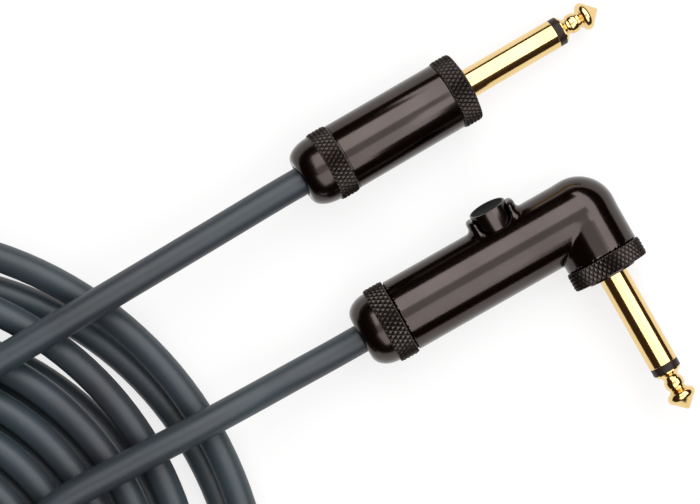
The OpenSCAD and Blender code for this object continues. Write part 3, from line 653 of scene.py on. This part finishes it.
# ---- right-angle plug ----
angle_place = axes_place(MOUNTS["angle_shaft"]["pos_m"], LEG_AXIS, BODY_AXIS)
body_place = axes_place(ELBOW, BODY_AXIS, UP.cross(BODY_AXIS))
PRESS = next(joint for joint in frame["record"]["behaviour"]["joints"] if joint["name"] == "button_press")
BUTTON_AXIS = -Vector(PRESS["axis"])
BUTTON_BACK = 0.0164
button_place = axes_place(ELBOW - BUTTON_BACK * BODY_AXIS, BUTTON_AXIS, BODY_AXIS)
BOSS_LEN = 0.0112
BOSS_W = 0.0085
BOSS_PROUD = 0.0026
BOSS_EDGE = 0.0008
BOSS_FLARE = 0.0013
SLOT_HALF = 0.00378
SLOT_EDGE = 0.0006
CREASE = 0.0003
HOLE_LIP = 0.0003
NET_CELL = 0.0003
NET_MARGIN = 0.001
NET_TOP = 0.003
NET_PASSES = 4
NET_PROBE = 0.02
NET_LEAST_SLOPE = 0.25
BODY_R = 0.0081
BUTTON_R = 0.004075
HOLE_GAP = 0.00015
EAR_R = 0.0048
EAR_HALF = 0.002
EAR_TOP = 0.0080
SPRING_CLEAR_R = 0.0026
BUTTON_SKIRT = 0.0004
INLAY_RIM = 0.0004
INLAY_DISH = 0.0003
BUTTON_EDGE = 0.00012
BUTTON_ROD_R = 0.0012
EAR_ROOT = 0.0003
EAR_STEPS = 8
DISH_STEPS = 8


def round_union(a, b, radius):
    """Joins two distances with a fillet of the given radius in the corner between them."""
    corner = np.hypot(np.maximum(radius - a, 0), np.maximum(radius - b, 0))
    return np.maximum(radius, np.minimum(a, b)) - corner


def round_overlap(a, b, radius):
    """Intersects two distances with a rounded edge of the given radius."""
    corner = np.hypot(np.maximum(radius + a, 0), np.maximum(radius + b, 0))
    return np.minimum(-radius, np.maximum(a, b)) + corner


def surface_net(distance, low, high, cell):
    """Quads on the surface where distance is zero, then moved on to it exactly."""
    low, high = np.array(low), np.array(high)
    counts = np.ceil((high - low) / cell).astype(int) + 1
    lines = [low[i] + cell * np.arange(counts[i]) for i in range(3)]
    grid = np.stack(np.meshgrid(*lines, indexing="ij"), axis=-1)
    value = distance(grid.reshape(-1, 3)).reshape(counts)
    inside = value < 0
    cells = counts - 1
    steps = np.eye(3, dtype=int)
    corners = [np.array((i, j, k)) for i in (0, 1) for j in (0, 1) for k in (0, 1)]
    filled = sum(inside[tuple(slice(c[i], c[i] + cells[i]) for i in range(3))].astype(int) for c in corners)
    active = (filled > 0) & (filled < 8)
    index = np.full(cells, -1)
    index[active] = np.arange(active.sum())
    home = np.argwhere(active)
    total, hits = np.zeros((len(home), 3)), np.zeros(len(home))
    for axis in range(3):
        for corner in corners:
            if corner[axis]:
                continue
            start = home + corner
            v0, v1 = value[tuple(start.T)], value[tuple((start + steps[axis]).T)]
            crossing = (v0 < 0) != (v1 < 0)
            t = v0[crossing] / (v0[crossing] - v1[crossing])
            total[crossing] += low + cell * (start[crossing] + t[:, None] * steps[axis])
            hits[crossing] += 1
    points = total / hits[:, None]
    quads = []
    for axis in range(3):
        u, v = steps[(axis + 1) % 3], steps[(axis + 2) % 3]
        near = inside[tuple(slice(0, counts[i] - steps[axis][i]) for i in range(3))]
        far = inside[tuple(slice(steps[axis][i], None) for i in range(3))]
        edge = np.argwhere(near != far)
        edge = edge[((edge - u - v) >= 0).all(axis=1) & (edge < cells).all(axis=1)]
        ring = [index[tuple((edge + move).T)] for move in (-u - v, -v, 0 * u, -u)]
        out = near[tuple(edge.T)]
        quad = np.stack(ring, axis=1)
        quads.append(np.where(out[:, None], quad, quad[:, ::-1]))
    probe = cell * NET_PROBE
    for _ in range(NET_PASSES):
        here = distance(points)
        slope = np.stack([(distance(points + probe * step) - distance(points - probe * step)) / (2 * probe)
                          for step in steps], axis=1)
        move = here / np.maximum((slope ** 2).sum(axis=1), NET_LEAST_SLOPE)
        points = points - np.clip(move, -cell / 2, cell / 2)[:, None] * slope
    return points, np.concatenate(quads)


def elbow_distance(radius, bore_r, start_z, leg_end, cap):
    """Distance to the elbow body in its own frame: x along the body, y against the leg, z up."""
    roll_y = BUTTON_AXIS.dot(-LEG_AXIS)
    roll_z = BUTTON_AXIS.dot(UP)
    hole_r, ear_r, ear_half, ear_top = cap
    neck_r = radius - GAP_DEPTH
    half = BOSS_LEN / 2 + BOSS_FLARE
    lens_r = (half * half + BOSS_W * BOSS_W / 4) / BOSS_W
    lens_out = lens_r - BOSS_W / 2

    def distance(p):
        x, y, z = p[:, 0], p[:, 1], p[:, 2]
        ball = np.sqrt(x * x + y * y + z * z)
        along_body = np.where(x < 0, np.hypot(y, z), ball)
        along_leg = np.where(y < 0, np.hypot(x, z), ball)
        shell = round_union(along_body - radius, along_leg - radius, CREASE)
        height = y * roll_y + z * roll_z
        along = np.abs(x + BUTTON_BACK)
        across = np.abs(z * roll_y - y * roll_z)
        from_axis = np.hypot(along, across)
        lens = round_overlap(np.hypot(along, across + lens_out) - lens_r, along - BOSS_LEN / 2, BOSS_EDGE)
        humps = round_overlap(lens, np.hypot(y, z) - radius - BOSS_PROUD, BOSS_EDGE)
        humps = round_overlap(humps, SLOT_HALF - along, SLOT_EDGE)
        humps = np.maximum(humps, -height)
        outer = round_union(shell, humps, BOSS_FLARE)
        outer = round_overlap(outer, np.minimum(hole_r - from_axis, height), HOLE_LIP)
        ears = np.maximum(from_axis - ear_r, across - ear_half)
        ears = np.maximum(ears, np.maximum(height - ear_top, -height))
        hollow = np.minimum(np.minimum(along_body, along_leg) - bore_r, ears)
        ends = np.maximum(start_z - x, leg_end - y)
        body_gap = np.maximum(neck_r - along_body, x - start_z - GAP_W)
        leg_gap = np.maximum(neck_r - along_leg, y - leg_end - GAP_W)
        outer = np.maximum(outer, -np.minimum(body_gap, leg_gap))
        return np.maximum(np.maximum(outer, ends), -hollow)

    return distance


def make_elbow():
    """The elbow body is one smooth skin: two mitred tubes, a ball outside and the humps round the button."""
    start_z = span("angle_rear_ring", body_place)[1]
    leg_end = -(span("angle_front_ring", axes_place(ELBOW, LEG_AXIS, BODY_AXIS))[0])
    bore_r = BODY_R - SHELL_WALL
    cap = (BUTTON_R + HOLE_GAP, EAR_R + HOLE_GAP, EAR_HALF + HOLE_GAP, EAR_TOP)
    distance = elbow_distance(BODY_R, bore_r, start_z, leg_end, cap)
    low = (start_z - NET_CELL * 1.5, leg_end - NET_CELL * 1.5, -BODY_R - NET_MARGIN)
    high = (BODY_R + NET_MARGIN, BODY_R + BOSS_PROUD + NET_MARGIN, BODY_R + NET_TOP)
    points, quads = surface_net(distance, low, high, NET_CELL)
    turn = Matrix((BODY_AXIS, -LEG_AXIS, UP)).transposed().to_4x4()
    place = Matrix.Translation(ELBOW) @ turn
    obj = mesh_object("elbow_shell", [place @ Vector(p) for p in points], quads.tolist(), sharp=radians(50))
    dress(obj, cast_metal, "barrel_metal", "cable", "elbow_body")


def make_ear(name, side, foot):
    """One of the two ears that keep the button in: it reaches under the hump on its side."""
    inner = BUTTON_R - EAR_ROOT
    rows = []
    for z in (foot, EAR_TOP):
        for k in range(EAR_STEPS + 1):
            y = EAR_HALF * (2 * k / EAR_STEPS - 1)
            rows.append((side * (inner ** 2 - y * y) ** 0.5, y, z))
            rows.append((side * (EAR_R ** 2 - y * y) ** 0.5, y, z))
    count = 2 * (EAR_STEPS + 1)
    faces = [(0, 1, count + 1, count), (count - 1, count - 2, 2 * count - 2, 2 * count - 1)]
    for k in range(EAR_STEPS):
        a, b = 2 * k, 2 * k + 2
        faces += [(a, b, b + 1, a + 1), (count + a, count + a + 1, count + b + 1, count + b),
                  (a, count + a, count + b, b), (a + 1, b + 1, count + b + 1, count + a + 1)]
    if side < 0:
        faces = [face[::-1] for face in faces]
    obj = mesh_object(name, [button_place @ Vector(p) for p in rows], faces, sharp=radians(30))
    dress(obj, button_metal, "button_metal", "button")


def make_button():
    """The moving button: a turned cap, two ears inside the body, and a dished inlay in its top."""
    low, top, _ = span("button_cap", button_place)
    foot, _, inlay_r = span("button_inlay", button_place)
    pocket_r = BUTTON_R - INLAY_RIM
    outline = [(low, SPRING_CLEAR_R), (low, BUTTON_R), (top, BUTTON_R), (top, pocket_r), (foot, pocket_r),
               (foot, BUTTON_ROD_R), (low + BUTTON_SKIRT, BUTTON_ROD_R), (low + BUTTON_SKIRT, SPRING_CLEAR_R)]
    lathe_piece("button_shell", soften(outline, BUTTON_EDGE), button_place, button_metal, "button_metal",
                "button_cap", body="button")
    for side in (-1, 1):
        make_ear("button_ear_" + ("back" if side < 0 else "front"), side, low + BUTTON_SKIRT)
    dish_r = (inlay_r ** 2 + INLAY_DISH ** 2) / (2 * INLAY_DISH)
    widest = asin(inlay_r / dish_r)
    angles = [widest * k / DISH_STEPS for k in range(DISH_STEPS + 1)]
    dish = [(top - INLAY_DISH + dish_r * (1 - cos(a)), dish_r * sin(a)) for a in angles]
    lathe_piece("button_inlay_dish", [(foot, 0), (foot, inlay_r)] + dish[::-1], button_place,
                inlay_black, "dark_rubber", "button_inlay", body="button")


def make_angle_plug():
    make_shaft("angle", angle_place)
    ring_piece("angle_front_ring", angle_place, SHOULDER_D / 2 + RING_CLEAR)
    make_rear("angle", body_place, BODY_R)
    make_elbow()
    make_button()


make_angle_plug()


# ---- studio ----
FLOOR_SIZE = 6
FLOOR_GLOW = 0.75
FLOOR_SHADE = 0.27
FLOOR_ROUGH = 0.8
WORLD_SHADE = (0.04, 0.022, 0.015)


def make_floor():
    """A white floor that keeps the object's shadow, and that metal and clear things show as white too."""
    half = FLOOR_SIZE / 2
    corners = [(-half, -half, 0), (half, -half, 0), (half, half, 0), (-half, half, 0)]
    floor = mesh_object("floor", corners, [(0, 1, 2, 3)], smooth=False)
    material, tree, shader = new_tree("floor_white")
    shader.inputs["Base Color"].default_value = (FLOOR_SHADE, FLOOR_SHADE, FLOOR_SHADE, 1)
    shader.inputs["Roughness"].default_value = FLOOR_ROUGH
    shader.inputs["Specular IOR Level"].default_value = 0
    shader.inputs["Emission Color"].default_value = (1, 1, 1, 1)
    ray = tree.nodes.new("ShaderNodeLightPath")
    seen = link_math(tree, "MAXIMUM", ray.outputs["Is Camera Ray"], ray.outputs["Is Transmission Ray"])
    shown = link_math(tree, "MAXIMUM", seen, ray.outputs["Is Glossy Ray"])
    glow = link_math(tree, "MULTIPLY", shown, FLOOR_GLOW)
    tree.links.new(glow, shader.inputs["Emission Strength"])
    floor.data.materials.append(material)


LAMP_TURN = radians(-15)
LAMP_ALONG = Vector((cos(LAMP_TURN), sin(LAMP_TURN), 0))
LAMP_ACROSS = UP.cross(LAMP_ALONG)
LAMP_HEIGHT = 0.6
LAMP_AIM = Vector((-0.02, 0.01, 0))
SOFTBOXES = {
    "back": ((-0.3, 0.52), (0.22, 1.32), 2.75),
    "back_nose": ((0.52, 1.35), (0.22, 2.8), 2.6),
    "nose": ((0.52, 1.35), (-0.08, 0.22), 2.75),
    "leg": ((0.34, 1.35), (-0.55, -0.08), 2.75),
    "middle": ((-0.35, 0.34), (-0.2, 0.22), 1.0),
    "middle_nose": ((0.34, 0.52), (-0.08, 0.22), 1.0),
    "front": ((-0.5, 0.14), (-1.5, -0.2), 2.2),
    "front_nose": ((0.14, 0.34), (-1.0, -0.2), 2.2),
    "front_leg": ((0.34, 0.52), (-1.0, -0.55), 2.2),
}


def make_softbox(name, along, across, radiance):
    """A level softbox above the plugs. Its sides are given for a height of one, along and across them."""
    data = bpy.data.lights.new(name, "AREA")
    data.shape = "RECTANGLE"
    data.size = (along[1] - along[0]) * LAMP_HEIGHT
    data.size_y = (across[1] - across[0]) * LAMP_HEIGHT
    data.energy = radiance * pi * data.size * data.size_y
    lamp = bpy.data.objects.new(name, data)
    middle = LAMP_ALONG * (sum(along) / 2) + LAMP_ACROSS * (sum(across) / 2) + UP
    lamp.location = LAMP_AIM + middle * LAMP_HEIGHT
    lamp.rotation_euler = (0, 0, LAMP_TURN)
    bpy.context.collection.objects.link(lamp)


def make_world():
    world = bpy.data.worlds.new("studio")
    bpy.context.scene.world = world
    world.use_nodes = True
    world.node_tree.nodes["Background"].inputs["Color"].default_value = (*WORLD_SHADE, 1)
    world.node_tree.nodes["Background"].inputs["Strength"].default_value = 1


make_floor()
for box, (along, across, radiance) in SOFTBOXES.items():
    make_softbox("softbox_" + box, along, across, radiance)
make_world()
bpy.context.scene.view_settings.view_transform = "Standard"
